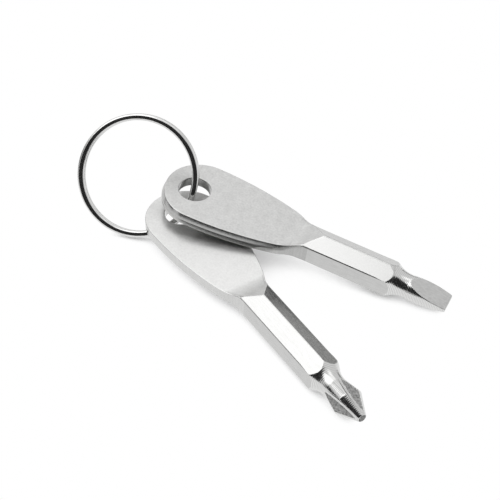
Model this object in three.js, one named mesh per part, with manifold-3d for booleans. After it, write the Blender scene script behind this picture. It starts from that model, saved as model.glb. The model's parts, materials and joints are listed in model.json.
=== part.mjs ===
// Pocket screwdriver pair: a slotted and a cross-point driver, each forged in one piece from hexagon bar,
// threaded on a two-turn split ring. The bar is flattened into a key-shaped bow with a hole at one end, and
// turned and ground to a tip at the other. Millimetres, +Z up, lying on the plane z = 0.
import * as THREE from 'three';
import { mergeVertices } from 'three/addons/utils/BufferGeometryUtils.js';
import Module from 'manifold-3d';

// Hexagon bar and the bow forged from it, the same on both drivers. Stations run from the hole's centre.
const HEX_ACROSS_FLATS = 6.35;
const BOW_THICKNESS = 2.15;
const BOW_WIDTH = 15.7;
const BOW_END = 6.3;               // hole centre to the round end
const BOW_SIDE_RADIUS = 72;        // long convex curve of each side
const NECK_LENGTH = 6.6;           // bow's side to the parallel shank
const NECK_TO_RIDGE = 1.85;        // parallel shank's start to the top of the ramp
const NECK_SWEEP = 0.48;           // share of that length over which each end of the neck's curve runs on
const HOLE_DIAMETER = 6.4;
const RAMP_ANGLE = 28;             // slope from the bow's face up to the hexagon's ridge, degrees
const RAMP_HOLLOW = 2.4;           // length of the hollow where the ramp leaves the bow

// Shank and tip of each driver
const SLOTTED_RIDGE_START = 28.0;  // hole centre to the top of the ramp
const SLOTTED_SHANK_END = 42.6;    // hole centre to the end of the ridge
const SLOTTED_TIP_LENGTH = 12.1;
const PHILLIPS_RIDGE_START = 29.6;
const PHILLIPS_SHANK_END = 49.2;
const PHILLIPS_TIP_LENGTH = 12.2;

// Turned end of the hexagon and the waist behind each tip
const TURNING_ANGLE = 30;          // cone that leaves a scallop on each flat, degrees
const TURNED_SHOULDER = 6.0;       // diameter where the cone runs into the hollow
const WAIST_DIAMETER = 4.75;
const WAIST_LENGTH = 1.7;          // length of the hollow

// Slotted blade
const BLADE_WIDTH = 3.6;
const BLADE_THICKNESS = 0.85;
const BLADE_SWELL = 5.7;           // diameter that the turned body heads for between waist and blade
const BLADE_SWELL_AT = 0.37;       // its place along that stretch
const BLADE_FACE_ANGLE = 14;       // each ground face to the axis, degrees
const BLADE_ROLL = 12;             // ground faces to the bow's face, degrees

// Cross point
const POINT_DIAMETER = 6.0;
const POINT_END_DIAMETER = 1.7;
const POINT_HALF_ANGLE = 26.5;
const POINT_ROLL = 28;             // wings to the bow's face, degrees
const FLUTE_COUNT = 4;
const FLUTE_WHEEL_RADIUS = 28;     // wheel that grinds the flutes
const FLUTE_EDGE = 0.25;           // half width of the wheel's blunt edge
const FLUTE_FACE = 5;              // depth of the wheel's bevelled edge
const FLUTE_CORE = 0.5;            // axis to the flute's bottom at the very end

// Split ring: two turns of wire that step from one layer to the other
const RING_OUTER_DIAMETER = 24.6;
const RING_WIRE = 0.95;
const RING_TURN_GAP = 0.5;
const RING_STEP_ANGLE = 42;        // arc over which the wire changes layer, degrees
const RING_STEP_AT = -27;          // middle of that arc, from the ring's level line, degrees
const RING_END_GAP = 1.8;          // wire end to the start of the step
const RING_LEAN = 53;              // ring's plane to the floor, degrees
const RING_HEADING = -12.3;        // level line of the ring's plane, degrees

// Lie of the drivers on the ring and the floor
const PHILLIPS_ON_RING = -35.8;    // place of the hole round the ring, degrees
const PHILLIPS_HEADING = -56.9;    // degrees
const SLOTTED_HEADING = -26.4;
const BOW_SPACING = 1.9;           // rise from one bow's face to the other's at the holes

// Facets
const ARC_STEPS = 40;
const TURN_STEPS = 64;
const WHEEL_STEPS = 180;
const RING_STEPS = 40;             // per turn
const WIRE_SIDES = 8;
const MERGE = 1e-4;

const { degToRad } = THREE.MathUtils;
const RIDGE = HEX_ACROSS_FLATS / Math.sqrt(3);
const HALF_SHANK = HEX_ACROSS_FLATS / 2;
const HALF_BOW = BOW_WIDTH / 2;
const BOW_WIDEST = HALF_BOW - BOW_END;
const RIDGE_CLEAR = RIDGE + 1;
const BLANK_DEPTH = 3 * RIDGE;
const RING_MEAN = (RING_OUTER_DIAMETER - RING_WIRE) / 2;
const RING_PITCH = RING_WIRE + RING_TURN_GAP;

const wasm = await Module();
wasm.setup();

// Closed geometry to a solid for cutting, without the flat triangles that a lathe leaves on its axis
function toSolid(geometry) {
  geometry.deleteAttribute('normal');
  geometry.deleteAttribute('uv');
  const merged = mergeVertices(geometry, MERGE);
  const triangles = [];
  for (let i = 0; i < merged.index.count; i += 3) {
    const [a, b, c] = [0, 1, 2].map((k) => merged.index.getX(i + k));
    if (a !== b && b !== c && c !== a) triangles.push(a, b, c);
  }
  const vertProperties = merged.attributes.position.array;
  const triVerts = new Uint32Array(triangles);
  return new wasm.Manifold(new wasm.Mesh({ numProp: 3, vertProperties, triVerts }));
}

function toGeometry(solid) {
  const { vertProperties, triVerts } = solid.getMesh();
  const geometry = new THREE.BufferGeometry();
  geometry.setAttribute('position', new THREE.BufferAttribute(vertProperties, 3));
  geometry.setIndex(new THREE.BufferAttribute(triVerts, 1));
  return geometry;
}

function extrude(shape, depth) {
  const geometry = new THREE.ExtrudeGeometry(shape, { depth, bevelEnabled: false, curveSegments: ARC_STEPS });
  return geometry.translate(0, 0, -depth / 2);
}

// Solid of revolution about X from a path of (station, radius)
function turn(path, divisions) {
  const profile = path.getPoints(divisions).map((p) => new THREE.Vector2(p.y, p.x));
  return new THREE.LatheGeometry(profile, TURN_STEPS).rotateZ(-Math.PI / 2);
}

// Plan of a driver: round end, long curved sides, neck and parallel shank
function planShape(ridgeStart, reach) {
  const neckEnd = ridgeStart - NECK_TO_RIDGE;
  const neckStart = neckEnd - NECK_LENGTH;
  const sideSweep = Math.asin((neckStart - BOW_WIDEST) / BOW_SIDE_RADIUS);
  const neckHalf = HALF_BOW - BOW_SIDE_RADIUS * (1 - Math.cos(sideSweep));
  const handle = NECK_LENGTH * NECK_SWEEP;
  const drop = handle * Math.tan(sideSweep);
  const bowSide = neckStart + handle;
  const shankSide = neckEnd - handle;
  const sideCentre = HALF_BOW - BOW_SIDE_RADIUS;
  const shape = new THREE.Shape();
  shape.moveTo(reach, -HALF_SHANK);
  shape.lineTo(reach, HALF_SHANK);
  shape.lineTo(neckEnd, HALF_SHANK);
  shape.bezierCurveTo(shankSide, HALF_SHANK, bowSide, neckHalf - drop, neckStart, neckHalf);
  shape.absarc(BOW_WIDEST, sideCentre, BOW_SIDE_RADIUS, Math.PI / 2 - sideSweep, Math.PI / 2, false);
  shape.absarc(BOW_WIDEST, 0, HALF_BOW, Math.PI / 2, (3 * Math.PI) / 2, false);
  shape.absarc(BOW_WIDEST, -sideCentre, BOW_SIDE_RADIUS, -Math.PI / 2, sideSweep - Math.PI / 2, false);
  shape.bezierCurveTo(bowSide, drop - neckHalf, shankSide, -HALF_SHANK, neckEnd, -HALF_SHANK);
  return shape;
}

// Side view of the forging: the ramps that rise from the bow's faces to the hexagon's ridges
function rampShape(ridgeStart, reach) {
  const slope = Math.tan(degToRad(RAMP_ANGLE));
  const half = BOW_THICKNESS / 2;
  const foot = ridgeStart - (RIDGE - half) / slope;
  const clear = ridgeStart + (RIDGE_CLEAR - RIDGE) / slope;
  const shape = new THREE.Shape();
  for (const side of [1, -1]) {
    const hollow = [
      [foot - RAMP_HOLLOW / 2, half * side],
      [foot, half * side],
      [foot + RAMP_HOLLOW / 2, (half + (slope * RAMP_HOLLOW) / 2) * side],
    ];
    if (side === 1) {
      shape.moveTo(...hollow[0]);
      shape.quadraticCurveTo(...hollow[1], ...hollow[2]);
      shape.lineTo(clear, RIDGE_CLEAR);
      shape.lineTo(reach, RIDGE_CLEAR);
    } else {
      shape.lineTo(reach, -RIDGE_CLEAR);
      shape.lineTo(clear, -RIDGE_CLEAR);
      shape.lineTo(...hollow[2]);
      shape.quadraticCurveTo(...hollow[1], ...hollow[0]);
    }
  }
  return shape;
}

// Turned outline up to the waist: the cone that scallops the flats, then the hollow
function turnedPath(shankEnd) {
  const slope = Math.tan(degToRad(TURNING_ANGLE));
  const shoulderAt = shankEnd + (RIDGE - TURNED_SHOULDER / 2) / slope;
  const waist = WAIST_DIAMETER / 2;
  const cornerAt = shoulderAt + (TURNED_SHOULDER / 2 - waist) / slope;
  const waistAt = cornerAt + WAIST_LENGTH;
  const path = new THREE.Path();
  path.moveTo(0, 0);
  path.lineTo(0, BOW_WIDTH);
  path.lineTo(shankEnd - (BOW_WIDTH - RIDGE) / slope, BOW_WIDTH);
  path.lineTo(shoulderAt, TURNED_SHOULDER / 2);
  path.quadraticCurveTo(cornerAt, waist, waistAt, waist);
  return { path, waistAt };
}

// Forged blank: bow plate and ramped hexagon inside one plan, with the hole and the turned end
function forgedBlank(ridgeStart, turned, tipEnd) {
  const reach = tipEnd + 1;
  const plan = toSolid(extrude(planShape(ridgeStart, reach), BLANK_DEPTH));
  const plate = new THREE.BoxGeometry(2 * (ridgeStart - NECK_TO_RIDGE), 2 * BOW_WIDTH, BOW_THICKNESS);
  const roof = new THREE.Shape();
  roof.moveTo(2 * HALF_SHANK, 0);
  roof.lineTo(0, RIDGE);
  roof.lineTo(-2 * HALF_SHANK, 0);
  roof.lineTo(0, -RIDGE);
  const alongX = new THREE.Matrix4().makeBasis(
    new THREE.Vector3(0, 1, 0), new THREE.Vector3(0, 0, 1), new THREE.Vector3(1, 0, 0));
  const bar = toSolid(extrude(roof, 2 * reach).applyMatrix4(alongX));
  const ramps = toSolid(extrude(rampShape(ridgeStart, reach), 2 * BOW_WIDTH).rotateX(Math.PI / 2));
  const hole = new THREE.CylinderGeometry(HOLE_DIAMETER / 2, HOLE_DIAMETER / 2, BLANK_DEPTH, TURN_STEPS);
  const shank = bar.intersect(ramps).intersect(turned);
  return toSolid(plate).add(shank).intersect(plan).subtract(toSolid(hole.rotateX(Math.PI / 2)));
}

function slottedDriver() {
  const tipEnd = SLOTTED_SHANK_END + SLOTTED_TIP_LENGTH;
  const { path, waistAt } = turnedPath(SLOTTED_SHANK_END);
  const bladeCorner = Math.hypot(BLADE_WIDTH, BLADE_THICKNESS) / 2;
  const swellAt = waistAt + BLADE_SWELL_AT * (tipEnd - waistAt);
  path.quadraticCurveTo(swellAt, BLADE_SWELL / 2, tipEnd, bladeCorner);
  path.lineTo(tipEnd, 0);
  let body = forgedBlank(SLOTTED_RIDGE_START, toSolid(turn(path, 10)), tipEnd);
  const grind = 2 * SLOTTED_TIP_LENGTH;
  for (const face of [0, 180]) {
    const wheel = new THREE.BoxGeometry(grind, grind, grind).translate(0, 0, grind / 2);
    wheel.rotateY(degToRad(BLADE_FACE_ANGLE)).translate(tipEnd, 0, BLADE_THICKNESS / 2);
    body = body.subtract(toSolid(wheel.rotateX(degToRad(BLADE_ROLL + face))));
  }
  return toGeometry(body);
}

function phillipsDriver() {
  const tipEnd = PHILLIPS_SHANK_END + PHILLIPS_TIP_LENGTH;
  const { path } = turnedPath(PHILLIPS_SHANK_END);
  const taper = (POINT_DIAMETER - POINT_END_DIAMETER) / 2 / Math.tan(degToRad(POINT_HALF_ANGLE));
  path.lineTo(tipEnd - taper, POINT_DIAMETER / 2);
  path.lineTo(tipEnd, POINT_END_DIAMETER / 2);
  path.lineTo(tipEnd, 0);
  let body = forgedBlank(PHILLIPS_RIDGE_START, toSolid(turn(path, 10)), tipEnd);
  for (let i = 0; i < FLUTE_COUNT; i += 1) {
    const angle = POINT_ROLL + (360 / FLUTE_COUNT) * (i + 0.5);
    const rim = FLUTE_WHEEL_RADIUS;
    const side = [[0, FLUTE_FACE], [rim - FLUTE_FACE + FLUTE_EDGE, FLUTE_FACE], [rim, FLUTE_EDGE]];
    const other = side.map(([r, y]) => [r, -y]);
    const bevelled = [...other, ...side.reverse()].map(([r, y]) => new THREE.Vector2(r, y));
    const wheel = new THREE.LatheGeometry(bevelled, WHEEL_STEPS).translate(tipEnd, 0, rim + FLUTE_CORE);
    body = body.subtract(toSolid(wheel.rotateX(degToRad(angle - 90))));
  }
  return toGeometry(body);
}

// Centre line of the ring's wire at a share of its length, in the ring's own plane
class SplitRingCurve extends THREE.Curve {
  getPoint(share, target = new THREE.Vector3()) {
    const step = degToRad(RING_STEP_ANGLE);
    const from = step / 2 + RING_END_GAP / RING_MEAN;
    const turned = THREE.MathUtils.lerp(from, 4 * Math.PI - from, share);
    const past = THREE.MathUtils.clamp((turned - 2 * Math.PI) / step + 0.5, 0, 1);
    const layer = RING_PITCH * (THREE.MathUtils.smoothstep(past, 0, 1) - 0.5);
    const angle = turned + degToRad(RING_STEP_AT);
    return target.set(RING_MEAN * Math.cos(angle), RING_MEAN * Math.sin(angle), layer);
  }
}

// Half width of the wire across its corners
const WIRE_CORNER = RING_WIRE / 2 / Math.cos(Math.PI / WIRE_SIDES);

// Least clear gap between stretches of wire more than a quarter turn apart, from points along its middle
function leastTurnGap(curve) {
  const points = curve.getPoints(8 * RING_STEPS);
  let least = Infinity;
  points.forEach((p, i) => {
    for (const q of points.slice(i + RING_STEPS)) least = Math.min(least, p.distanceTo(q));
  });
  return least - 2 * WIRE_CORNER;
}

function splitRing() {
  const section = new THREE.Shape();
  for (let i = 0; i < WIRE_SIDES; i += 1) {
    const angle = ((i + 0.5) * 2 * Math.PI) / WIRE_SIDES;
    section[i ? 'lineTo' : 'moveTo'](WIRE_CORNER * Math.cos(angle), WIRE_CORNER * Math.sin(angle));
  }
  const options = { extrudePath: new SplitRingCurve(), steps: 2 * RING_STEPS, bevelEnabled: false };
  return new THREE.ExtrudeGeometry(section, options);
}

function steel(roughness) {
  return new THREE.MeshStandardMaterial({ color: 0xc9cbcc, roughness, metalness: 1 });
}

function mesh(name, geometry, roughness) {
  const node = new THREE.Mesh(geometry, steel(roughness));
  node.name = name;
  return node;
}

// Ring standing on the floor, leaning, with its centre above the origin
const ringTurn = new THREE.Euler(degToRad(RING_LEAN), 0, degToRad(RING_HEADING), 'ZXY');
const ringHeight = RING_MEAN * Math.sin(ringTurn.x) + (RING_PITCH / 2) * Math.cos(ringTurn.x) + WIRE_CORNER;
const ringCentre = new THREE.Vector3(0, 0, ringHeight);
const ring = mesh('split_ring', splitRing(), 0.12);
ring.rotation.copy(ringTurn);
ring.position.copy(ringCentre);

// Point on the middle of the ring's wire, at an angle from its level line
function onRing(angle) {
  const point = new THREE.Vector3(RING_MEAN * Math.cos(angle), RING_MEAN * Math.sin(angle), 0);
  return point.applyEuler(ringTurn).add(ringCentre);
}

// A driver threaded on the ring at a point, its lower ridge meeting the floor at the end of the shank
function lay(node, hole, heading, shankEnd) {
  const pitch = Math.asin(hole.z / Math.hypot(shankEnd, RIDGE)) - Math.atan2(RIDGE, shankEnd);
  node.rotation.set(0, pitch, degToRad(heading), 'ZYX');
  node.position.copy(hole);
  return node;
}

const phillipsHole = onRing(degToRad(PHILLIPS_ON_RING));
const slottedHeight = phillipsHole.z + BOW_THICKNESS + BOW_SPACING - ringCentre.z;
const slottedHole = onRing(Math.asin(slottedHeight / (RING_MEAN * Math.sin(ringTurn.x))));
const pair = new THREE.Group();
pair.add(
  ring,
  lay(mesh('phillips_driver', phillipsDriver(), 0.3), phillipsHole, PHILLIPS_HEADING, PHILLIPS_SHANK_END),
  lay(mesh('slotted_driver', slottedDriver(), 0.3), slottedHole, SLOTTED_HEADING, SLOTTED_SHANK_END),
);

// Origin at the bottom centre of the whole
const box = new THREE.Box3().setFromObject(pair, true);
const centre = box.getCenter(new THREE.Vector3());
pair.position.set(-centre.x, -centre.y, -box.min.z);
console.log(`least gap between turns of the split ring: ${leastTurnGap(new SplitRingCurve()).toFixed(3)} mm`);

export default pair;
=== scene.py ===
"""Looks of the pocket screwdriver pair: finished steel drivers on a split ring, in a white studio."""

import json
import math

import bmesh
import bpy
from mathutils import Matrix, Vector


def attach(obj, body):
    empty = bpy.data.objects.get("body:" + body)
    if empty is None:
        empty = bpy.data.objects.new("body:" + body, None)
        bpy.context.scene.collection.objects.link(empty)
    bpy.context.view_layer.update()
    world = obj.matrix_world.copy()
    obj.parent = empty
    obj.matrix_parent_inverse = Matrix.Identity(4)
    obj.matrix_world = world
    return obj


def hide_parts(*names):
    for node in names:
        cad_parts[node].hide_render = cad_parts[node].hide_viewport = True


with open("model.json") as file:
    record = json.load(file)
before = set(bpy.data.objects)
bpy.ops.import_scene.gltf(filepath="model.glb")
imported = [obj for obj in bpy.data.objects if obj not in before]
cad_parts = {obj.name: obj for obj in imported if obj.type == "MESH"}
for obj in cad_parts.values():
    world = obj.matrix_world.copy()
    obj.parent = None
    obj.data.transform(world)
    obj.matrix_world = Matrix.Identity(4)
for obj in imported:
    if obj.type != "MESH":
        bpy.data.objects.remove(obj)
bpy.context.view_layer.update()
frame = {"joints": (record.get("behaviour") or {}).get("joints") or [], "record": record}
MM = 0.001

# Camera of the photograph: it looks down at a point near the middle of the pair
VIEW_ELEVATION = math.radians(43.26)
VIEW_DISTANCE = 331.9 * MM
VIEW_TARGET = Vector((-2.04, 8.95, 4.97)) * MM
LENS = 123.26
SENSOR_WIDTH = 36
NEAREST_SEEN = 0.01

# Drivers in mm, as in their solids apart from the bow's draft and the longer hollow at the ramp's foot;
# stations run from the hole's centre to the tip
STATIONS = {
    "slotted": {"ridge": 28.0, "shank_end": 42.6, "draft": 0.46},
    "phillips": {"ridge": 29.6, "shank_end": 49.2, "draft": 0.0},
}
ACROSS_FLATS = 6.35
HALF_SHANK = ACROSS_FLATS / 2
RIDGE = ACROSS_FLATS / math.sqrt(3)
HALF_PLATE = 2.15 / 2
HALF_BOW = 15.7 / 2
BOW_WIDEST = HALF_BOW - 6.3
SIDE_RADIUS = 72.0
HOLE_RADIUS = 3.2
NECK_LENGTH = 6.6
NECK_TO_RIDGE = 1.85
NECK_HANDLE = 0.48 * NECK_LENGTH
RAMP_SLOPE = math.tan(math.radians(28))
RAMP_HOLLOW = 3.6

# Turned and ground tips in mm, as in the solids apart from FLUTE_CORE, which leaves thicker wings
TIP_LENGTH = {"slotted": 12.1, "phillips": 12.2}
TURNING_SLOPE = math.tan(math.radians(30))
SHOULDER_RADIUS = 3.0
WAIST_RADIUS = 4.75 / 2
WAIST_LENGTH = 1.7
BLADE_WIDTH = 3.6
BLADE_THICKNESS = 0.85
BLADE_SWELL_RADIUS = 5.7 / 2
BLADE_SWELL_AT = 0.37
BLADE_SLOPE = math.tan(math.radians(14))
BLADE_FACE = math.radians(102)
POINT_RADIUS = 3.0
POINT_END_RADIUS = 0.85
POINT_SLOPE = math.tan(math.radians(26.5))
POINT_ROLL = math.radians(28)
FLUTE_WHEEL_RADIUS = 28.0
FLUTE_EDGE = 0.25
FLUTE_CORE = 1.1
OUTLINE_LEAD = 6
TIP_SOFTNESS = 0.025
TIP_CHAMFER = 0.06
LEAST_COSINE = 0.02

# Edges of the drivers in mm: roundings, how far they reach and what they keep clear of;
# a rounding takes at most MOST_OF_EDGE, a share of the edge beside it
BOW_ROUND = 0.16
HOLE_ROUND = 0.2
SHANK_ROUND = 0.2
END_ROUND = 0.02
END_FADE = 2
VALLEY_ROUND = 0.04
CREST_ROUND = 0.12
RIDGE_FLAT = 0.1
SIDE_REACH = 0.8
VALLEY_MARGIN = 0.08
CREST_MARGIN = 0.2
MOST_OF_EDGE = 0.45

# Points between the roundings, as shares: up a side, along its lean, up the slope from valley to crest;
# LEAN_FADE sets where the lean fades out round the bow's edge
SIDE_LOWER = (0.4, 0.06)
LEAN_FOOT = 0.09
LEAN_FOOT_HEIGHT = 0.08
LEAN_MIDDLE = 0.45
SLOPE_SHARES = (0.3, 0.55, 0.8)
LEAN_FADE = 0.6

# Rows, columns and steps of the drivers' meshes; steps along the axis in mm
SIDE_ROUND_STEPS = 5
FACE_ROUND_STEPS = 2
HOLE_ROUND_STEPS = 4
HOLE_TURNS = 64
BOW_SIDE_STEPS = 26
BOW_END_STEPS = 24
NECK_STEP = 0.2
NECK_OVERRUN = 0.6
SHANK_ROWS = 10
CURVE_STEPS = 24
TIP_STEP = 0.1
TIP_COLUMNS = 216
TIP_OVERLAP = 0.8
HALVINGS = 40
SHARP_ANGLE = math.radians(40)

# Limits on a face's normal that decide the finish of bow, neck and shank
FACE_SIDEWAYS = 0.25
FACE_UPRIGHT = 0.8
WALL_UPRIGHT = 0.85
RAMP_TURN = math.cos(math.radians(12))

# Split ring in mm, as in the solids but with thicker wire and closer turns
RING_OUTER = 12.3
RING_RADIAL = 1.34
RING_AXIAL = 1.02
RING_PITCH = 1.16
RING_STEP = math.radians(42)
RING_STEP_AT = math.radians(-27)
RING_END_GAP = 1.8
RING_LEAN = math.radians(53)
RING_HEADING = math.radians(-12.3)
WIRE_POINTS = 24
WIRE_SQUARENESS = 0.8
WIRE_STEPS = 420
WIRE_END_SIZE = 0.72
WIRE_END_STEPS = 3

# Mesh attribute that keeps each point's place in the piece's own axes, for the grain
OWN_PLACE = "own_place"

# Steel: how grain, turning marks and worn edges show; EDGE_RADIUS in metres, BROAD_SCALE in 1/m
FINE_NOISE = {"Detail": 3.0, "Roughness": 0.6}
BROAD_NOISE = {"Detail": 2.0, "Roughness": 0.5}
BROAD_SCALE = 700.0
FINE_SHARE = 0.65
MARK_DETAIL = 2.0
MARK_SHARE = 0.55
GRAIN_RANGE = (0.3, 0.7)
BLUE_SHARE = 0.99
EDGE_RADIUS = 6e-5
EDGE_SAMPLES = 6
WEAR_RANGE = (0.8, 0.99)
WORN_COLOUR = (0.85, 0.85, 0.84, 1)

# Grain of the finishes: scale of its noise in 1/m, depth in m, stretch along the piece's own axes
SATIN_GRAIN = {"scale": 2600.0, "depth": 5e-6}
UNDER_GRAIN = {"scale": 2000.0, "depth": 6e-6}
WALL_GRAIN = {"scale": 2200.0, "depth": 4e-6, "stretch": (1, 1, 0.12)}
FLAT_GRAIN = {"scale": 3200.0, "depth": 1.5e-6, "stretch": (0.1, 1, 1)}
BLADE_GRAIN = {"scale": 3600.0, "depth": 9e-6, "stretch": (0.25, 1, 1)}
FLUTE_GRAIN = {"scale": 4200.0, "depth": 2.4e-5, "stretch": (0.7, 1, 1), "mottle": 3000.0}
WIRE_GRAIN = {"scale": 3600.0, "depth": 3e-7, "stretch": (0.03, 1, 1), "mottle": 300.0}
TURNED_GRAIN = {"scale": 2400.0, "depth": 5e-6}
TURNING_MARKS = {"scale": 1000.0, "wander": 1.2, "depth": 9e-6}

# Studio: floor, cards that the steel reflects, lamps and surroundings; lengths in metres
FLOOR_LEVEL = -0.00002
FLOOR_SIZE = 6
FLOOR_TONE = 0.92
FLOOR_ROUGHNESS = 0.7
FLOOR_SHINE = 0.1
SHADE_REACH = 0.012
SHADE_RANGE = (0.1, 0.42)
SHADE_SAMPLES = 12
CARDS = {
    "front_card": {"centre": (-0.15, -0.8, 0.75), "width": 2.6, "height": 1.5, "facing": (-0.15, 0, 0.65)},
    "left_card": {"centre": (-0.9, 0.1, 0.19), "width": 0.6, "height": 0.38, "facing": (0, 0.1, 0.19)},
    "right_card": {"centre": (0.42, 0.85, 0.05), "width": 0.5, "height": 0.26, "facing": (0, 0, 0.02)},
}
CARD_TONES = {"front_card": 0.015, "left_card": 0.015, "right_card": 0.32}
CARD_ROUGHNESS = 0.9
LAMPS = {
    "overhead": {"direction": (-0.477, 0.026, 0.879), "distance": 1.0, "width": 0.85, "height": 0.85,
                 "radiance": 1.06},
    "zenith": {"direction": (0.22, 0.22, 0.95), "distance": 1.0, "width": 0.5, "height": 0.4,
               "radiance": 0.6},
    "back": {"direction": (-0.08, 0.57, 0.82), "distance": 1.1, "width": 0.5, "height": 0.36,
             "radiance": 0.5},
}
WORLD_LEVEL = 0.82


def new_material(name):
    """A material with its shader, ready for more nodes."""
    material = bpy.data.materials.new(name)
    material.use_nodes = True
    nodes = material.node_tree.nodes
    return material, nodes, material.node_tree.links, nodes["Principled BSDF"]


def node(nodes, kind, **values):
    """A shader node with some of its sockets or settings given."""
    made = nodes.new(kind)
    for key, value in values.items():
        if key in made.inputs:
            made.inputs[key].default_value = value
        else:
            setattr(made, key, value)
    return made


def ranged(nodes, low, high, to_low, to_high):
    """A node that maps one range of values to another."""
    made = node(nodes, "ShaderNodeMapRange")
    for key, value in zip(("From Min", "From Max", "To Min", "To Max"), (low, high, to_low, to_high)):
        made.inputs[key].default_value = value
    return made


def steel(name, tone, spread, roughness, wander, scale, depth, stretch=(1, 1, 1), mottle=BROAD_SCALE,
          marks=None):
    """Steel with grain along a direction in its colour, roughness and relief, and with bright worn edges."""
    # A mix node takes its share at input 0, numbers at 2 and 3, colours at 6 and 7; colours leave at output 2
    material, nodes, links, shader = new_material(name)
    shader.inputs["Metallic"].default_value = 1.0
    place = node(nodes, "ShaderNodeAttribute", attribute_name=OWN_PLACE)
    mapping = node(nodes, "ShaderNodeMapping", Scale=stretch)
    links.new(place.outputs["Vector"], mapping.inputs["Vector"])
    fine = node(nodes, "ShaderNodeTexNoise", Scale=scale, **FINE_NOISE)
    links.new(mapping.outputs["Vector"], fine.inputs["Vector"])
    broad = node(nodes, "ShaderNodeTexNoise", Scale=mottle, **BROAD_NOISE)
    links.new(place.outputs["Vector"], broad.inputs["Vector"])
    blend = node(nodes, "ShaderNodeMix", data_type="FLOAT")
    blend.inputs[0].default_value = FINE_SHARE
    links.new(broad.outputs["Fac"], blend.inputs[2])
    links.new(fine.outputs["Fac"], blend.inputs[3])

    tint = blend.outputs[0]
    if marks:
        wave = node(nodes, "ShaderNodeTexWave", wave_type="BANDS", bands_direction="X", Scale=marks["scale"],
                    Distortion=marks["wander"], Detail=MARK_DETAIL)
        wave.inputs["Detail Scale"].default_value = MARK_DETAIL
        links.new(place.outputs["Vector"], wave.inputs["Vector"])
        marked = node(nodes, "ShaderNodeMix", data_type="FLOAT")
        marked.inputs[0].default_value = MARK_SHARE
        links.new(blend.outputs[0], marked.inputs[2])
        links.new(wave.outputs["Fac"], marked.inputs[3])
        tint = marked.outputs[0]

    rounded = node(nodes, "ShaderNodeBevel", samples=EDGE_SAMPLES, Radius=EDGE_RADIUS)
    surface = node(nodes, "ShaderNodeNewGeometry")
    facing = node(nodes, "ShaderNodeVectorMath", operation="DOT_PRODUCT")
    links.new(rounded.outputs["Normal"], facing.inputs[0])
    links.new(surface.outputs["Normal"], facing.inputs[1])
    wear = ranged(nodes, *WEAR_RANGE, 1.0, 0.0)
    links.new(facing.outputs["Value"], wear.inputs["Value"])

    colours = node(nodes, "ShaderNodeValToRGB")
    tones = (tone - spread, tone + spread)
    for stop, position, value in zip(colours.color_ramp.elements, GRAIN_RANGE, tones):
        stop.position = position
        stop.color = (value, value, BLUE_SHARE * value, 1)
    links.new(tint, colours.inputs["Fac"])
    worn = node(nodes, "ShaderNodeMix", data_type="RGBA")
    worn.inputs[7].default_value = WORN_COLOUR
    links.new(wear.outputs["Result"], worn.inputs[0])
    links.new(colours.outputs["Color"], worn.inputs[6])
    links.new(worn.outputs[2], shader.inputs["Base Color"])

    rough = ranged(nodes, *GRAIN_RANGE, roughness - wander, roughness + wander)
    links.new(tint, rough.inputs["Value"])
    links.new(rough.outputs["Result"], shader.inputs["Roughness"])

    bump = node(nodes, "ShaderNodeBump", Strength=1.0, Distance=depth)
    links.new(fine.outputs["Fac"], bump.inputs["Height"])
    links.new(rounded.outputs["Normal"], bump.inputs["Normal"])
    relief = bump
    if marks:
        relief = node(nodes, "ShaderNodeBump", Strength=1.0, Distance=marks["depth"])
        links.new(wave.outputs["Fac"], relief.inputs["Height"])
        links.new(bump.outputs["Normal"], relief.inputs["Normal"])
    links.new(relief.outputs["Normal"], shader.inputs["Normal"])
    return material


# Finishes: tone and its spread, roughness and its spread, grain
# Underside: painted shade, a darker tone on the drivers' downward faces, which deepens the shadow that the
# upper bow throws on the lower one
SHADED_UNDERSIDE = steel("painted_shade_underside", 0.4, 0.05, 0.45, 0.06, **UNDER_GRAIN)
# Bow edges and bores: painted shade, a darker tone than the bow faces for the shade along the edges and in
# the holes; the cross-point driver's is lighter, painted light as on its bow
WALLS = {
    "slotted": steel("bow_edge", 0.46, 0.05, 0.2, 0.06, **WALL_GRAIN),
    "phillips": steel("bow_edge_painted_lighter", 0.62, 0.05, 0.2, 0.06, **WALL_GRAIN),
}
FLAT = steel("shank_flat", 0.56, 0.045, 0.22, 0.05, **FLAT_GRAIN)
TURNED = steel("turned_tip", 0.66, 0.07, 0.15, 0.05, **TURNED_GRAIN, marks=TURNING_MARKS)
GROUND = {
    "slotted": steel("ground_blade", 0.53, 0.08, 0.34, 0.06, **BLADE_GRAIN),
    # painted shade: a dark tone on the cross point's ground flute faces, for the shade in its grooves
    "phillips": steel("ground_flute_painted_shade", 0.23, 0.22, 0.46, 0.1, **FLUTE_GRAIN),
}
WIRE = steel("bright_wire", 0.7, 0.1, 0.13, 0.05, **WIRE_GRAIN)
# The cross-point driver's bow gets a lighter tone than the slotted driver's: painted light, for the brighter
# light on the lower bow
BOWS = {
    "slotted": steel("satin_bow", 0.64, 0.09, 0.38, 0.06, **SATIN_GRAIN),
    "phillips": steel("satin_bow_painted_lighter", 0.785, 0.07, 0.34, 0.06, **SATIN_GRAIN),
}
# Ramps: painted light, a copy of each bow's steel with a lighter tone, brightening the ramp where it rises to
# the hexagon
RAMPS = {
    "slotted": steel("ramp_painted_light", 0.69, 0.08, 0.4, 0.06, **SATIN_GRAIN),
    "phillips": steel("lower_ramp_painted_light", 0.8, 0.08, 0.48, 0.06, **SATIN_GRAIN),
}
FINISH_ORDER = ("bow", "ramp", "under", "wall", "flat", "turned", "ground")


def hinge_frame(joint):
    """A driver's own axes: origin at the hole's centre, X to the tip, Z out of the bow's face."""
    z = Vector(joint["axis"]).normalized()
    heading = math.atan2(z.y, z.x)
    fall = math.hypot(z.x, z.y)
    x = Vector((math.cos(heading) * z.z, math.sin(heading) * z.z, -fall)).normalized()
    axes = Matrix((x, z.cross(x), z)).transposed().to_4x4()
    return Matrix.Translation(Vector(joint["pos_m"])) @ axes


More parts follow.
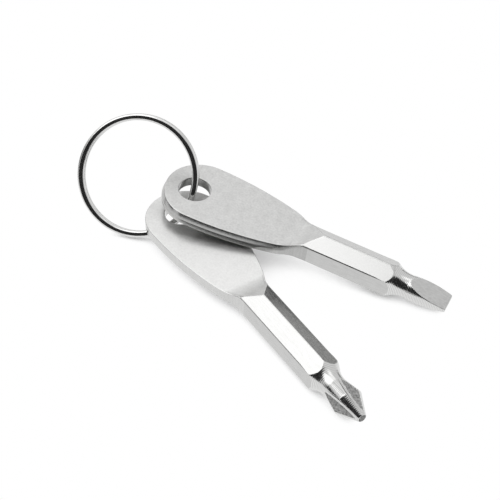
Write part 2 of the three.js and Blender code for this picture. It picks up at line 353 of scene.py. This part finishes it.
def add_piece(name, bm, materials, place, own_places=None):
    """An object in the shared frame from a mesh in its own axes."""
    mesh = bpy.data.meshes.new(name)
    bm.to_mesh(mesh)
    bm.free()
    own = mesh.attributes.new(OWN_PLACE, "FLOAT_VECTOR", "POINT")
    spots = own_places or [v.co for v in mesh.vertices]
    own.data.foreach_set("vector", [c for spot in spots for c in spot])
    mesh.transform(place)
    for material in materials:
        mesh.materials.append(material)
    piece = bpy.data.objects.new(name, mesh)
    bpy.context.scene.collection.objects.link(piece)
    return piece


def smooth_step(t):
    """A share from 0 to 1 that starts and ends level."""
    t = min(1.0, max(0.0, t))
    return t * t * (3 - 2 * t)


def cubic(p, t):
    """Point on a cubic curve from four control values."""
    u = 1 - t
    return p[0] * u ** 3 + 3 * p[1] * u * u * t + 3 * p[2] * u * t * t + p[3] * t ** 3


def half_width(x, ridge):
    """Half of a driver's width in plan, past the bow's widest place."""
    neck_end = ridge - NECK_TO_RIDGE
    neck_start = neck_end - NECK_LENGTH
    if x >= neck_end:
        return HALF_SHANK
    if x <= neck_start:
        return HALF_BOW - SIDE_RADIUS + math.sqrt(SIDE_RADIUS ** 2 - (x - BOW_WIDEST) ** 2)
    sweep = math.asin((neck_start - BOW_WIDEST) / SIDE_RADIUS)
    start = HALF_BOW - SIDE_RADIUS * (1 - math.cos(sweep))
    stations = (neck_start, neck_start + NECK_HANDLE, neck_end - NECK_HANDLE, neck_end)
    widths = (start, start - NECK_HANDLE * math.tan(sweep), HALF_SHANK, HALF_SHANK)
    low, high = 0.0, 1.0
    for _ in range(HALVINGS):
        middle = (low + high) / 2
        if cubic(stations, middle) < x:
            low = middle
        else:
            high = middle
    return cubic(widths, low)


def ramp_foot(ridge):
    """Station where the ramp's slope would meet the bow's face."""
    return ridge - (RIDGE - HALF_PLATE) / RAMP_SLOPE


def ramp_start(ridge):
    """Station where the hollow at the ramp's foot begins."""
    return ramp_foot(ridge) - RAMP_HOLLOW / 2


def ramp_height(x, ridge):
    """Height of the ramp that rises from the bow's face to the hexagon's ridge."""
    past = x - ramp_foot(ridge)
    if past >= RAMP_HOLLOW / 2:
        return min(HALF_PLATE + RAMP_SLOPE * past, RIDGE)
    if past <= -RAMP_HOLLOW / 2:
        return HALF_PLATE
    return HALF_PLATE + RAMP_SLOPE * (past + RAMP_HOLLOW / 2) ** 2 / (2 * RAMP_HOLLOW)


def rounded_corner(before, corner, after, size, steps):
    """Points round a corner of a path, starting and ending at most a given length from it."""
    back = Vector(before) - Vector(corner)
    on = Vector(after) - Vector(corner)
    start = Vector(corner) + back.normalized() * min(size, MOST_OF_EDGE * back.length)
    end = Vector(corner) + on.normalized() * min(size, MOST_OF_EDGE * on.length)
    points = []
    for i in range(steps + 1):
        t = i / steps
        points.append(start * (1 - t) ** 2 + Vector(corner) * 2 * t * (1 - t) + end * t * t)
    return points


def top_height(x, y, ridge):
    """Height of a driver's upper surface above its middle plane, past the bow."""
    plate = HALF_PLATE if x < ridge - NECK_TO_RIDGE else 0.0
    return max(plate, min(ramp_height(x, ridge), RIDGE - abs(y) / math.sqrt(3)))


def edge_sizes(x, ridge, end):
    """Rounding of a driver's side at a station, and the share of the bow's draft that is left there."""
    start = ramp_start(ridge)
    along_neck = smooth_step((x - start) / (ridge - NECK_TO_RIDGE - start))
    size = BOW_ROUND + (SHANK_ROUND - BOW_ROUND) * along_neck
    size += (END_ROUND - size) * smooth_step((x - end + END_FADE) / END_FADE)
    return size, 1 - along_neck


def side_points(x, ridge, width, size, draft):
    """A driver's side as (y, z) from its lower face to its upper: upright below, leaning in above."""
    inset = width - draft
    below = (width, -top_height(x, width, ridge))
    above = (inset, top_height(x, inset, ridge))
    under = (width - SIDE_REACH, -top_height(x, width - SIDE_REACH, ridge))
    over = (inset - SIDE_REACH, top_height(x, inset - SIDE_REACH, ridge))
    points = rounded_corner(under, below, (width, 0), size, SIDE_ROUND_STEPS)
    for share in SIDE_LOWER:
        points.append(Vector((width, share * below[1])))
    points.append(Vector((width - LEAN_FOOT * draft, LEAN_FOOT_HEIGHT * above[1])))
    points.append(Vector((width, 0)).lerp(Vector(above), LEAN_MIDDLE))
    return points + rounded_corner((width, 0), above, over, size, SIDE_ROUND_STEPS)


def face_points(x, ridge, edge_y, size):
    """A driver's upper surface from its side's rounding to its middle, as (y, z)."""
    valley_y = min((RIDGE - HALF_PLATE) * math.sqrt(3), edge_y - size - VALLEY_MARGIN)
    slope_top = (RIDGE - ramp_height(x, ridge)) * math.sqrt(3)
    crest_y = max(RIDGE_FLAT, min(slope_top, valley_y - CREST_MARGIN))
    side = (edge_y, top_height(x, edge_y, ridge))
    valley = (valley_y, top_height(x, valley_y, ridge))
    crest = (crest_y, top_height(x, crest_y, ridge))
    middle = (0.0, crest[1])
    points = rounded_corner(side, valley, crest, VALLEY_ROUND, FACE_ROUND_STEPS)
    for share in SLOPE_SHARES:
        points.append(Vector(valley).lerp(Vector(crest), share))
    points += rounded_corner(valley, crest, middle, CREST_ROUND, FACE_ROUND_STEPS)
    points.append(Vector(middle))
    return points


def whole_section(x, ridge, end, draft):
    """A driver's section as (y, z): up its upright side, over the top, down its leaning side, back below."""
    size, share = edge_sizes(x, ridge, end)
    width = half_width(x, ridge)
    below = [Vector((p.x, -p.y)) for p in face_points(x, ridge, width, size)]
    upright = side_points(x, ridge, width, size, 0.0) + face_points(x, ridge, width, size)
    lean = draft * share
    leaning = side_points(x, ridge, width, size, lean) + face_points(x, ridge, width - lean, size)[:-1]
    right = list(reversed(below[:-1])) + upright
    left = [Vector((-p.x, p.y)) for p in list(reversed(leaning)) + below]
    return right + left


def bow_stations(ridge):
    """Places round the bow's edge with their inward directions, from one side of the neck to the other."""
    start = ramp_start(ridge)
    stations = []
    for i in range(1, BOW_SIDE_STEPS):
        x = start + (BOW_WIDEST - start) * i / BOW_SIDE_STEPS
        stations.append((Vector((x, half_width(x, ridge))), Vector((0, -1))))
    for i in range(BOW_END_STEPS + 1):
        angle = math.pi / 2 * (1 + i / BOW_END_STEPS)
        out = Vector((math.cos(angle), math.sin(angle)))
        stations.append((Vector((BOW_WIDEST, 0)) + HALF_BOW * out, -out))
    for at, inward in reversed(stations[:-1]):
        stations.append((Vector((at.x, -at.y)), Vector((inward.x, -inward.y))))
    return stations


def bow_hole(bm):
    """The wall of the bow's hole with its rounded rims, as columns of points from upper face to lower."""
    outside = (HOLE_RADIUS + 1, HALF_PLATE)
    rim = (HOLE_RADIUS, HALF_PLATE)
    flare = rounded_corner(outside, rim, (HOLE_RADIUS, 0), HOLE_ROUND, HOLE_ROUND_STEPS)
    profile = flare + [Vector((p.x, -p.y)) for p in reversed(flare)]
    hole = []
    for i in range(HOLE_TURNS):
        angle = 2 * math.pi * i / HOLE_TURNS
        hole.append([bm.verts.new((p.x * math.cos(angle) * MM, p.x * math.sin(angle) * MM, p.y * MM))
                     for p in profile])
    for i in range(HOLE_TURNS):
        a, b = hole[i], hole[(i + 1) % HOLE_TURNS]
        for k in range(len(profile) - 1):
            bm.faces.new((a[k], a[k + 1], b[k + 1], b[k]))
    return hole


def bow_plate(bm, ridge, first_row, draft):
    """The flat bow: its side all round, its hole and its two faces, joined to the first row of the neck."""
    start = ramp_start(ridge)
    width = half_width(start, ridge)
    count = len(side_points(start, ridge, width, BOW_ROUND, 0.0))
    half = len(first_row) // 2
    lead = (half - count - 1) // 2
    rows = [first_row[lead:lead + count]]
    for at, inward in bow_stations(ridge):
        row = []
        lean = draft * smooth_step(LEAN_FADE + inward.y if at.x < BOW_WIDEST else float(at.y < 0))
        for p in side_points(start, ridge, width, BOW_ROUND, lean):
            spot = at + inward * (width - p.x)
            row.append(bm.verts.new((spot.x * MM, spot.y * MM, p.y * MM)))
        rows.append(row)
    rows.append(list(reversed(first_row[half + lead:half + lead + count])))
    for a, b in zip(rows, rows[1:]):
        for k in range(count - 1):
            bm.faces.new((a[k], a[k + 1], b[k + 1], b[k]))

    hole = bow_hole(bm)
    end = len(rows) // 2
    across = first_row[lead + count - 1:half + lead + 1]
    middle = len(across) // 2
    below = first_row[half + lead + count - 1:] + first_row[:lead + 1]
    for face, level in ((across, -1), (list(reversed(below)), 0)):
        deep = -1 if level == 0 else 0
        near = [row[level] for row in rows[1:end + 1]]
        far = [row[level] for row in rows[end:-1]]
        upper_arc = [hole[i][deep] for i in range(HOLE_TURNS // 2 + 1)]
        lower_arc = [hole[i % HOLE_TURNS][deep] for i in range(HOLE_TURNS // 2, HOLE_TURNS + 1)]
        right = list(reversed(face[:middle + 1])) + near + list(reversed(upper_arc))
        left = face[middle:] + list(reversed(far)) + lower_arc
        bm.faces.new(right)
        bm.faces.new(left)


def driver_body(ridge, shank_end, draft):
    """Bow, neck and hexagon of a driver, up to where its turned end begins."""
    bm = bmesh.new()
    end = shank_end - TIP_OVERLAP
    stations = []
    x = ramp_start(ridge)
    while x < ridge + NECK_OVERRUN:
        stations.append(x)
        x += NECK_STEP
    stations += [x + (end - x) * i / SHANK_ROWS for i in range(SHANK_ROWS + 1)]
    rows = []
    for x in stations:
        section = whole_section(x, ridge, end, draft)
        rows.append([bm.verts.new((x * MM, p.x * MM, p.y * MM)) for p in section])
    columns = len(rows[0])
    for a, b in zip(rows, rows[1:]):
        for k in range(columns):
            n = (k + 1) % columns
            bm.faces.new((a[k], b[k], b[n], a[n]))
    bow_plate(bm, ridge, rows[0], draft)
    return bm


def curve_points(a, b, c):
    """Points along a curve from a to c that leaves towards b, as (station, radius)."""
    points = []
    for i in range(CURVE_STEPS + 1):
        t = i / CURVE_STEPS
        points.append(tuple(p * (1 - t) ** 2 + 2 * q * t * (1 - t) + r * t * t for p, q, r in zip(a, b, c)))
    return points


def turned_outline(name, shank_end):
    """Outline of a driver's turned end, as (station, radius)."""
    tip_end = shank_end + TIP_LENGTH[name]
    lead = (shank_end - OUTLINE_LEAD, RIDGE + OUTLINE_LEAD * TURNING_SLOPE)
    shoulder = (shank_end + (RIDGE - SHOULDER_RADIUS) / TURNING_SLOPE, SHOULDER_RADIUS)
    corner = (shoulder[0] + (SHOULDER_RADIUS - WAIST_RADIUS) / TURNING_SLOPE, WAIST_RADIUS)
    waist = (corner[0] + WAIST_LENGTH, WAIST_RADIUS)
    outline = [lead] + curve_points(shoulder, corner, waist)
    if name == "slotted":
        swell = (waist[0] + BLADE_SWELL_AT * (tip_end - waist[0]), BLADE_SWELL_RADIUS)
        end = (tip_end, math.hypot(BLADE_WIDTH, BLADE_THICKNESS) / 2)
        return outline + curve_points(waist, swell, end)
    taper = (POINT_RADIUS - POINT_END_RADIUS) / POINT_SLOPE
    return outline + [(tip_end - taper, POINT_RADIUS), (tip_end, POINT_END_RADIUS)]


def radius_at(outline, x):
    """Radius of an outline at a station."""
    for (x0, r0), (x1, r1) in zip(outline, outline[1:]):
        if x <= x1:
            return r0 + (r1 - r0) * (x - x0) / (x1 - x0)
    return outline[-1][1]


def ground_radius(name, x, angle, tip_end):
    """How far out a ray across the tip goes before it meets a ground face, and that face's finish."""
    behind = tip_end - x
    if name == "slotted":
        face = BLADE_THICKNESS / 2 + BLADE_SLOPE * behind
        return face / max(LEAST_COSINE, abs(math.cos(angle - BLADE_FACE))), "ground"
    turn = (angle - POINT_ROLL) % (math.pi / 2) - math.pi / 4
    along, across = math.cos(turn), abs(math.sin(turn))
    bottom = FLUTE_CORE + behind ** 2 / (2 * FLUTE_WHEEL_RADIUS)
    # painted highlight: the blunt bottom of a flute takes the lighter turned steel, for the bright line along
    # it
    if bottom * across <= FLUTE_EDGE * along:
        return bottom / along, "turned"
    # the flute faces take the dark ground steel with its painted shade
    return (bottom - FLUTE_EDGE) / max(LEAST_COSINE, along - across), "ground"


def tip_radii(name, x, angle, outline, tip_end):
    """Where a ray from the axis meets the flat, the turned surface and the ground face, with finishes."""
    nearest_flat = (angle + math.pi / 6) % (math.pi / 3) - math.pi / 6
    flat = HALF_SHANK / math.cos(nearest_flat)
    return (flat, "flat"), (radius_at(outline, x), "turned"), ground_radius(name, x, angle, tip_end)


def soft_least(values):
    """The least of some distances, with the edge where two meet slightly rounded."""
    least = min(values)
    total = sum(math.exp((least - value) / TIP_SOFTNESS) for value in values)
    return least - TIP_SOFTNESS * math.log(total)


def driver_tip(bm, name, shank_end):
    """The turned and ground end of a driver, as rows of points round its axis, with a finish on each face."""
    outline = turned_outline(name, shank_end)
    start = shank_end - TIP_OVERLAP
    tip_end = shank_end + TIP_LENGTH[name]
    count = round((tip_end - TIP_CHAMFER - start) / TIP_STEP)
    stations = [start + (tip_end - TIP_CHAMFER - start) * i / count for i in range(count + 1)] + [tip_end]
    rows = []
    for x in stations:
        row = []
        for k in range(TIP_COLUMNS):
            angle = POINT_ROLL + 2 * math.pi * k / TIP_COLUMNS
            r = soft_least([radius for radius, _ in tip_radii(name, x, angle, outline, tip_end)])
            if x == tip_end:
                r -= TIP_CHAMFER
            row.append(bm.verts.new((x * MM, r * math.cos(angle) * MM, r * math.sin(angle) * MM)))
        rows.append(row)
    for i, (a, b) in enumerate(zip(rows, rows[1:])):
        middle = (stations[i] + stations[i + 1]) / 2
        for k in range(TIP_COLUMNS):
            n = (k + 1) % TIP_COLUMNS
            face = bm.faces.new((a[k], a[n], b[n], b[k]))
            angle = POINT_ROLL + 2 * math.pi * (k + 0.5) / TIP_COLUMNS
            _, finish = min(tip_radii(name, middle, angle, outline, tip_end))
            face.material_index = FINISH_ORDER.index(finish)
    centre = bm.verts.new((tip_end * MM, 0, 0))
    for k in range(TIP_COLUMNS):
        face = bm.faces.new((rows[-1][k], rows[-1][(k + 1) % TIP_COLUMNS], centre))
        face.material_index = FINISH_ORDER.index("ground")


def finish_of(face, stations):
    """Which finish a face of the bow, neck or shank has, from where it lies and how it is turned."""
    at = face.calc_center_median() / MM
    n = face.normal
    if abs(n.y) < FACE_SIDEWAYS and abs(n.z) > FACE_UPRIGHT:
        # downward faces take the underside steel with its painted shade
        if n.z < 0:
            return "under"
        # faces tilted up the ramp take the ramp's lighter copy, painted light
        return "bow" if n.z > RAMP_TURN else "ramp"
    # upright faces of the bow take the darker edge steel, painted shade
    if at.x < stations["ridge"] - NECK_TO_RIDGE and abs(n.z) < WALL_UPRIGHT:
        return "wall"
    return "flat"


def dress_driver(name, joint):
    """A driver with rounded edges and a finish on each face, in place of its solid."""
    stations = STATIONS[name]
    bm = driver_body(stations["ridge"], stations["shank_end"], stations["draft"])
    bmesh.ops.recalc_face_normals(bm, faces=bm.faces)
    for face in bm.faces:
        face.material_index = FINISH_ORDER.index(finish_of(face, stations))
    driver_tip(bm, name, stations["shank_end"])
    for face in bm.faces:
        face.smooth = True
    materials = (BOWS[name], RAMPS[name], SHADED_UNDERSIDE, WALLS[name], FLAT, TURNED, GROUND[name])
    piece = add_piece(name + "_finished", bm, materials, hinge_frame(joint))
    piece.data.set_sharp_from_angle(angle=SHARP_ANGLE)
    shading = piece.modifiers.new("shading", "WEIGHTED_NORMAL")
    shading.keep_sharp = True
    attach(piece, name)
    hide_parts(name + "_driver")


def wire_section():
    """Rounded section of the wire: (radial, axial) offsets."""
    section = []
    for i in range(WIRE_POINTS):
        angle = 2 * math.pi * (i + 0.5) / WIRE_POINTS
        c, s = math.cos(angle), math.sin(angle)
        radial = math.copysign(abs(c) ** WIRE_SQUARENESS, c) * RING_RADIAL / 2
        axial = math.copysign(abs(s) ** WIRE_SQUARENESS, s) * RING_AXIAL / 2
        section.append((radial, axial))
    return section


def split_ring(centre):
    """Two close turns of wire with a step between them, leaning as in the photograph."""
    mean = RING_OUTER - RING_RADIAL / 2
    first = RING_STEP / 2 + RING_END_GAP / mean
    last = 4 * math.pi - first
    bm = bmesh.new()
    rows = []
    along_wire = []
    for i in range(WIRE_STEPS + 1):
        turned = first + (last - first) * i / WIRE_STEPS
        layer = RING_PITCH * (smooth_step((turned - 2 * math.pi) / RING_STEP + 0.5) - 0.5)
        from_end = smooth_step(min(i, WIRE_STEPS - i) / WIRE_END_STEPS)
        swell = WIRE_END_SIZE + (1 - WIRE_END_SIZE) * from_end
        angle = turned + RING_STEP_AT
        row = []
        for radial, axial in wire_section():
            r = mean + radial * swell
            spot = (r * math.cos(angle), r * math.sin(angle), layer + axial * swell)
            row.append(bm.verts.new(Vector(spot) * MM))
            along_wire.append(Vector((turned * mean, radial, axial)) * MM)
        rows.append(row)
    for a, b in zip(rows, rows[1:]):
        for k in range(WIRE_POINTS):
            n = (k + 1) % WIRE_POINTS
            bm.faces.new((a[k], b[k], b[n], a[n]))
    bm.faces.new(rows[0])
    bm.faces.new(list(reversed(rows[-1])))
    bmesh.ops.recalc_face_normals(bm, faces=bm.faces)
    for face in bm.faces:
        face.smooth = len(face.verts) == 4
    lean = Matrix.Rotation(RING_HEADING, 4, "Z") @ Matrix.Rotation(RING_LEAN, 4, "X")
    piece = add_piece("split_ring_wound", bm, (WIRE,), Matrix.Translation(centre) @ lean, along_wire)
    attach(piece, "ring")
    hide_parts("split_ring")


def plain_material(name, tone, roughness):
    """A grey material of one tone, for a studio card."""
    material, _, _, shader = new_material(name)
    shader.inputs["Base Color"].default_value = (tone, tone, tone, 1)
    shader.inputs["Roughness"].default_value = roughness
    return material


def floor_material():
    """Floor that shows white to the camera and to reflections, except where the object shades it closely."""
    material, nodes, links, shader = new_material("floor_white")
    shader.inputs["Base Color"].default_value = (FLOOR_TONE, FLOOR_TONE, FLOOR_TONE, 1)
    shader.inputs["Roughness"].default_value = FLOOR_ROUGHNESS
    shader.inputs["Specular IOR Level"].default_value = FLOOR_SHINE
    glow = node(nodes, "ShaderNodeEmission", Color=(1, 1, 1, 1), Strength=1.0)
    path = node(nodes, "ShaderNodeLightPath")
    seen = node(nodes, "ShaderNodeMath", operation="MAXIMUM")
    links.new(path.outputs["Is Camera Ray"], seen.inputs[0])
    links.new(path.outputs["Is Glossy Ray"], seen.inputs[1])
    through = node(nodes, "ShaderNodeMath", operation="MAXIMUM")
    links.new(seen.outputs[0], through.inputs[0])
    links.new(path.outputs["Is Transmission Ray"], through.inputs[1])
    open_sky = node(nodes, "ShaderNodeAmbientOcclusion", samples=SHADE_SAMPLES, Distance=SHADE_REACH)
    clear = ranged(nodes, *SHADE_RANGE, 0.0, 1.0)
    links.new(open_sky.outputs["AO"], clear.inputs["Value"])
    share = node(nodes, "ShaderNodeMath", operation="MULTIPLY")
    links.new(through.outputs[0], share.inputs[0])
    links.new(clear.outputs["Result"], share.inputs[1])
    blend = node(nodes, "ShaderNodeMixShader")
    links.new(share.outputs[0], blend.inputs[0])
    links.new(shader.outputs[0], blend.inputs[1])
    links.new(glow.outputs[0], blend.inputs[2])
    links.new(blend.outputs[0], nodes["Material Output"].inputs["Surface"])
    return material


def card(name, centre, width, height, facing, material, camera=True):
    """A flat studio surface at a place, facing a point."""
    mesh = bpy.data.meshes.new(name)
    w, h = width / 2, height / 2
    mesh.from_pydata([(-w, -h, 0), (w, -h, 0), (w, h, 0), (-w, h, 0)], [], [(0, 1, 2, 3)])
    mesh.materials.append(material)
    made = bpy.data.objects.new(name, mesh)
    bpy.context.scene.collection.objects.link(made)
    made.location = centre
    made.rotation_euler = (Vector(facing) - Vector(centre)).to_track_quat("Z", "Y").to_euler()
    made.visible_camera = camera


def softbox(name, direction, distance, width, height, radiance):
    """A rectangular lamp that faces the object, as bright as a surface of the given radiance."""
    light = bpy.data.lights.new(name, "AREA")
    light.shape = "RECTANGLE"
    light.size = width
    light.size_y = height
    light.energy = radiance * math.pi * width * height
    made = bpy.data.objects.new(name, light)
    bpy.context.scene.collection.objects.link(made)
    at = Vector(direction).normalized() * distance
    made.location = at
    made.rotation_euler = (-at).to_track_quat("-Z", "Y").to_euler()


joints = {joint["child"]: joint for joint in frame["joints"]}
for driver in STATIONS:
    dress_driver(driver, joints[driver])
loop = next(mount for mount in frame["record"]["mounts"] if mount["name"] == "ring_loop")
split_ring(Vector(loop["pos_m"]))

card("floor", (0, 0, FLOOR_LEVEL), FLOOR_SIZE, FLOOR_SIZE, (0, 0, 1), floor_material())
for card_name, place in CARDS.items():
    finish = plain_material(card_name, CARD_TONES[card_name], CARD_ROUGHNESS)
    card(card_name, **place, material=finish, camera=False)
for lamp_name, lamp in LAMPS.items():
    softbox(lamp_name, **lamp)

world = bpy.data.worlds.new("studio")
bpy.context.scene.world = world
world.use_nodes = True
background = world.node_tree.nodes["Background"]
background.inputs["Color"].default_value = (WORLD_LEVEL, WORLD_LEVEL, WORLD_LEVEL, 1)
background.inputs["Strength"].default_value = 1.0

camera_data = bpy.data.cameras.new("camera")
camera_data.sensor_width = SENSOR_WIDTH
camera_data.lens = LENS
camera_data.clip_start = NEAREST_SEEN
camera = bpy.data.objects.new("camera", camera_data)
bpy.context.scene.collection.objects.link(camera)
towards = Vector((0, -math.cos(VIEW_ELEVATION), math.sin(VIEW_ELEVATION)))
camera.location = VIEW_TARGET + VIEW_DISTANCE * towards
camera.rotation_euler = (-towards).to_track_quat("-Z", "Y").to_euler()
bpy.context.scene.camera = camera
bpy.context.scene.view_settings.view_transform = "Standard"
